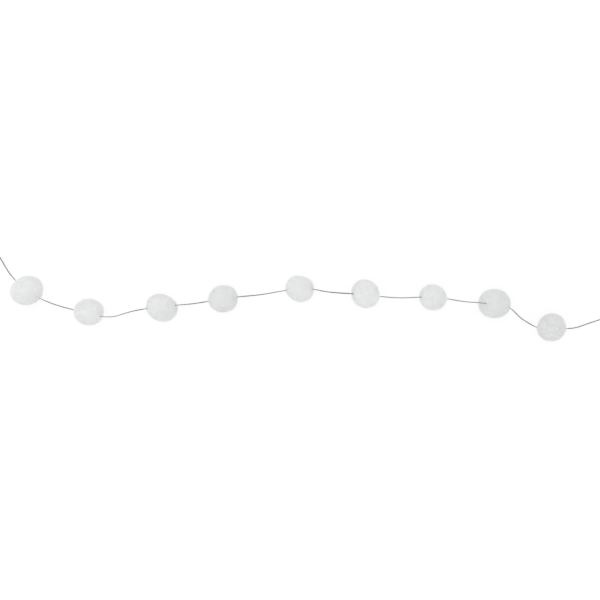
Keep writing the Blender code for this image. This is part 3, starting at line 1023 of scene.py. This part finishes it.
@dataclass
class Snowball:
    """One plush ball: a felted body, bored for the string, and the pile on it."""

    number: int  # its place on the string, from 1 at the left
    tone: float  # how light it is beside the others
    route: Route  # the string that it is threaded on
    pile: Pile  # the pile that it wears
    fineness: int = 5  # how many times the body's mesh is divided
    outside: float = 0.1  # a distance from its middle that is outside any ball
    bore_mouth: float = 2.0 * MM  # how far from the string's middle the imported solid's bore still dents it
    fill_steps: int = 80  # how many times the dents are eased, to fill the bore
    ease_steps: int = 10  # how many times the whole ball is then eased
    pile_depth: float = 0.75 * MM  # how far the body's surface is below the ball's own
    lump_height: float = 0.28 * MM  # of the body's soft unevenness
    lump_size: float = 7.0 * MM  # how wide that unevenness is
    tuft_height: float = 0.10 * MM  # of its small tufts
    tuft_size: float = 1.6 * MM  # how wide those are
    own_shift: float = 0.31  # how far along the unevenness one ball is from the next
    string_reach: float = 5.5 * MM  # how far from the string its pull on the plush is felt
    depth_at_string: float = 0.5 * MM  # the pile's depth beside the string, where it holds the string close
    nap_at_string: float = 1.25  # how tall a lock stands there, where it is 1 elsewhere
    closing: float = 1.7  # how strongly the nearest locks lean over the string
    closing_reach: float = 3.0 * MM  # how far from the string's middle locks do so
    bore_radius: float = 0.79 * MM  # of the hole that the string runs in
    bore_rim: float = 1.01  # how many of these radii from the string's middle the pile begins
    crease_deg: float = 50.0  # the angle from which an edge of the body, such as the bore's, is sharp
    seed_step: int = 10  # how far one ball's seed is from the next one's
    fill: float = 0.9  # how tightly the ball is stuffed

    def node(self) -> str:
        """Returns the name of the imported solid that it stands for."""
        return f"snowball_{self.number}"

    def _radii(self, ways: np.ndarray, edges: np.ndarray, middle: Vector) -> np.ndarray:
        """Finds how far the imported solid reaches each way, with its bore filled and its facets eased.

        Args:
            ways: unit vectors, one for each vertex of the body.
            edges: the pairs of vertices that the body's edges join.
            middle: the ball's middle.

        Returns:
            The distance from the middle, one for each vertex.
        """
        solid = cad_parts[self.node()].data
        tree = BVHTree.FromPolygons(
            [vertex.co for vertex in solid.vertices], [face.vertices for face in solid.polygons]
        )
        radii = np.zeros(len(ways))
        for i, way in enumerate(ways):
            hit = tree.ray_cast(middle + Vector(way) * self.outside, -Vector(way))[0]
            radii[i] = (hit - middle).length if hit else 0.0
        known = radii > 0
        radii[~known] = radii[known].mean()
        surface = np.array(middle) + ways * radii[:, None]
        bored = ~known | (self.route.distance(surface) < self.bore_mouth)
        for _ in range(self.fill_steps):
            radii = np.where(bored, neighbour_mean(radii, edges), radii)
        for _ in range(self.ease_steps):
            radii = (radii + neighbour_mean(radii, edges)) / 2
        return radii

    def _uneven(self, place: Vector) -> float:
        """Works out the height of the body's lumps and tufts.

        Args:
            place: where on the body.

        Returns:
            How far the body stands out there.
        """
        shift = Vector((0.0, 0.0, self.own_shift * self.number))
        lumps = noise.noise(place / self.lump_size + shift)
        tufts = noise.noise(place / self.tuft_size - shift)
        return self.lump_height * lumps + self.tuft_height * tufts

    def _beside(self, near: np.ndarray) -> np.ndarray:
        """Returns 1 beside the string, falling to 0 further off."""
        return 1.0 - smoothstep(near, self.string_reach / 3, self.string_reach)

    def _form(self) -> bpy.types.Mesh:
        """Makes the body's round form, before its bore.

        Returns:
            A closed mesh, in the ball's own place.
        """
        low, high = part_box(self.node())
        middle = (low + high) / 2
        shape = bmesh.new()
        bmesh.ops.create_icosphere(shape, subdivisions=self.fineness, radius=1.0)
        ways = np.array([tuple(vertex.co.normalized()) for vertex in shape.verts])
        edges = np.array([[vertex.index for vertex in edge.verts] for edge in shape.edges])
        radii = self._radii(ways, edges, middle)
        surface = np.array(middle) + ways * radii[:, None]
        near = self.route.distance(surface)
        depth = self.pile_depth + (self.depth_at_string - self.pile_depth) * self._beside(near)
        uneven = np.array([self._uneven(Vector(place)) for place in surface])
        for vertex, way, radius in zip(shape.verts, ways, radii - depth + uneven):
            vertex.co = middle + Vector(way) * radius
        mesh = bpy.data.meshes.new(f"{self.node()}_form")
        shape.to_mesh(mesh)
        shape.free()
        return mesh

    def _bored(self, form: bpy.types.Mesh, bore: bpy.types.Object) -> bpy.types.Mesh:
        """Cuts the string's bore through the body.

        Args:
            form: the body's round form.
            bore: the cutter that drills the hole.

        Returns:
            The bored body's mesh.
        """
        blank = add_object(f"{self.node()}_blank", form)
        drill = blank.modifiers.new("bore", "BOOLEAN")
        drill.operation = "DIFFERENCE"
        drill.solver = "EXACT"
        drill.object = bore
        mesh = evaluated_mesh(blank, f"{self.node()}_body")
        bpy.data.objects.remove(blank, do_unlink=True)
        return mesh

    def _note_pile(self, mesh: bpy.types.Mesh) -> None:
        """Stores on the mesh where the pile grows, how tall it is and where it closes over the string.

        Args:
            mesh: the bored body.
        """
        near_face = self.route.distance(np.array([face.center for face in mesh.polygons]))
        note(mesh, "cover", near_face > self.bore_radius * self.bore_rim, "FACE")
        places = np.array([vertex.co for vertex in mesh.vertices])
        towards = self.route.nearest(places) - places
        near = np.linalg.norm(towards, axis=1)
        note(mesh, "nap", 1.0 - (1.0 - self.nap_at_string) * self._beside(near))
        closeness = self.closing * (1.0 - smoothstep(near, self.bore_radius, self.closing_reach))
        normals = np.array([vertex.normal for vertex in mesh.vertices])
        # Only the sideways part counts, so that the locks above the sunk string go on standing over it.
        aside = towards - normals * (towards * normals).sum(axis=1, keepdims=True)
        note(mesh, "over", aside / near[:, None] * closeness[:, None])

    def make(self, bore: bpy.types.Object, ground: bpy.types.Material, locks: bpy.types.Material) -> None:
        """Makes the body and its pile.

        Args:
            bore: the cutter that drills the string's hole.
            ground: the body's finish.
            locks: the pile's finish.
        """
        mesh = self._bored(self._form(), bore)
        mesh.materials.clear()
        mesh.materials.append(ground)
        self._note_pile(mesh)
        seed = self.seed_step * self.number
        pile = self.pile.grow_on(f"{self.node()}_pile", mesh.copy(), seed, locks)
        for name in self.pile.NOTES:
            mesh.attributes.remove(mesh.attributes[name])
        mesh.shade_smooth()
        mesh.set_sharp_from_angle(angle=math.radians(self.crease_deg))
        body = add_object(f"{self.node()}_body", mesh)
        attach(body, BODY)
        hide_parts(self.node())
        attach(pile, BODY)
        report(body)
        report(pile)


@dataclass
class Garland:
    """The whole garland."""

    # How light each ball is beside the others, from the left.
    tones: tuple[float, ...] = (0.994, 0.999, 0.993, 0.981, 1.003, 1.016, 1.004, 0.978, 0.968)
    plush: PlushFinish = PlushFinish()  # the balls' finish
    silver: SilverYarn = SilverYarn()  # the string's finish
    diameter: float = 1.3 * MM  # of the string
    grip: float = 0.4  # how much thinner the string is drawn where a ball's plush grips it
    grip_reach: float = 0.2  # over what share of a ball's radius it is
    # How far each end's loop turns off the string's way, in degrees.
    loop_turns: Mapping[Side, float] = field(default_factory=lambda: {Side.LEFT: 26.0, Side.RIGHT: -8.0})
    cutter_steps: int = 4  # points of the balls' cutter for each stretch of the route
    cutter_rounding: int = 2  # how finely the cutter is rounded

    def _gripped(self, line: np.ndarray) -> np.ndarray:
        """Works out how thin the balls' grip draws the string.

        Args:
            line: the points of its middle line, one a row.

        Returns:
            The string's girth at each point, where 1 is its own thickness.
        """
        hold = np.zeros(len(line))
        for number in range(1, len(self.tones) + 1):
            low, high = (np.array(corner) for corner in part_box(f"snowball_{number}"))
            out = np.linalg.norm((line - (low + high) / 2) / ((high - low) / 2), axis=1)
            hold = np.maximum(hold, np.exp(-(((out - 1.0) / self.grip_reach) ** 2)))
        return 1.0 - self.grip * hold

    def make_string(self, route: Route) -> None:
        """Args:
            route: where the string runs.
        """
        cord = TwistedCord(self.silver.material())
        line = route.tucked()
        string = cord.lay("silver_string", line, cord.slub, self._gripped(line))
        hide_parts("string")
        for side, turn in self.loop_turns.items():
            TiedEnd(side, cord, route.heading(side), turn).make()

    def _bore(self, radius: float) -> bpy.types.Object:
        """Makes the cutter for the balls' bores: a closed tube on the string's route.

        Args:
            radius: of the tube.

        Returns:
            The cutter.
        """
        curve = bpy.data.curves.new("bore_line", "CURVE")
        curve.dimensions = "3D"
        curve.bevel_depth = radius
        curve.bevel_resolution = self.cutter_rounding
        curve.use_fill_caps = True
        line = smooth_curve(np.array(ROUTE), self.cutter_steps)
        spline = curve.splines.new("POLY")
        spline.points.add(len(line) - 1)
        for point, place in zip(spline.points, line):
            point.co = (*place, 1.0)
        guide = add_object("bore_line", curve)
        mesh = evaluated_mesh(guide, "bore")
        bpy.data.objects.remove(guide, do_unlink=True)
        shape = bmesh.new()
        shape.from_mesh(mesh)
        bmesh.ops.remove_doubles(shape, verts=shape.verts[:], dist=MERGE)
        bmesh.ops.recalc_face_normals(shape, faces=shape.faces[:])
        shape.to_mesh(mesh)
        shape.free()
        return add_object("bore", mesh)

    def make_balls(self, route: Route) -> None:
        """Makes the nine balls.

        Args:
            route: the string that they are threaded on.
        """
        pile = Pile()
        ground_group, lock_group = self.plush.ground_group(), self.plush.lock_group()
        balls = [Snowball(number, tone, route, pile) for number, tone in enumerate(self.tones, start=1)]
        cutter = self._bore(balls[0].bore_radius)
        for ball in balls:
            ground = self.plush.material(f"plush_ground_{ball.number}", ball.tone, ground_group)
            locks = self.plush.material(f"plush_pile_{ball.number}", ball.tone, lock_group)
            ball.make(cutter, ground, locks)
        bpy.data.objects.remove(cutter, do_unlink=True)


@dataclass
class Studio:
    """A plain pale floor, plain soft light and the camera straight above."""

    camera_place: tuple[float, float, float] = (0.0154, 0.0109, 3.0)  # where the camera stands
    lens_mm: float = 137.63  # its focal length, on a sensor 36 mm wide
    camera_reach: float = 100.0  # how far it sees
    sky: float = 1.12  # how bright the light from all round is
    key_power_w: float = 0.35  # of the soft lamp beyond the left end
    key_place: tuple[float, float, float] = (-0.68, 0.25, 0.38)  # where that lamp hangs
    key_aim: tuple[float, float, float] = (-0.3, 0.0, 0.0)  # the place that it faces
    key_size: float = 0.3  # how wide it is
    floor_half_width: float = 20.0  # half the floor's width
    floor_colour: tuple[float, float, float] = (0.25, 0.25, 0.25)  # the floor's own colour
    floor_roughness: float = 0.9  # how matt it is
    floor_glow: float = 0.745  # how much light the floor gives off

    def _make_camera(self) -> None:
        """Makes the camera, which looks straight down with +Y up."""
        data = bpy.data.cameras.new("camera")
        data.lens = self.lens_mm
        data.clip_end = self.camera_reach
        camera = add_object("camera", data)
        camera.location = self.camera_place
        bpy.context.scene.camera = camera

    def _make_light(self) -> None:
        """Makes the light from all round and the soft lamp."""
        world = bpy.data.worlds.new("studio")
        bpy.context.scene.world = world
        world.use_nodes = True
        background = world.node_tree.nodes["Background"]
        TreeBuilder(world.node_tree).feed(background, {"Color": WHITE, "Strength": self.sky})
        data = bpy.data.lights.new("key", "AREA")
        data.energy = self.key_power_w
        data.size = self.key_size
        lamp = add_object("key", data)
        lamp.location = self.key_place
        aim = Vector(self.key_aim) - Vector(self.key_place)
        lamp.rotation_euler = aim.to_track_quat("-Z", "Y").to_euler()
        lamp.visible_camera = False
        bpy.context.scene.view_settings.view_transform = "Standard"

    def _make_floor(self) -> None:
        """Makes the floor."""
        half = self.floor_half_width
        mesh = bpy.data.meshes.new("floor")
        corners = [(-half, -half, 0), (half, -half, 0), (half, half, 0), (-half, half, 0)]
        mesh.from_pydata(corners, [], [(0, 1, 2, 3)])
        constants = {
            "Base Color": (*self.floor_colour, 1.0),
            "Roughness": self.floor_roughness,
            "Specular IOR Level": 0.0,
            "Emission Color": WHITE,
            "Emission Strength": self.floor_glow,
        }
        mesh.materials.append(MaterialBuilder("pale_floor", constants).material)
        add_object("floor", mesh)

    def set_up(self) -> None:
        """Makes the camera, the light and the floor."""
        self._make_camera()
        self._make_light()
        self._make_floor()


def main() -> None:
    """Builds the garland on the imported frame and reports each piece."""
    logging.basicConfig(level=logging.INFO, format="%(name)s: %(message)s")
    Studio().set_up()
    route = Route()
    garland = Garland()
    garland.make_string(route)
    garland.make_balls(route)


if __name__ == "__main__":
    main()
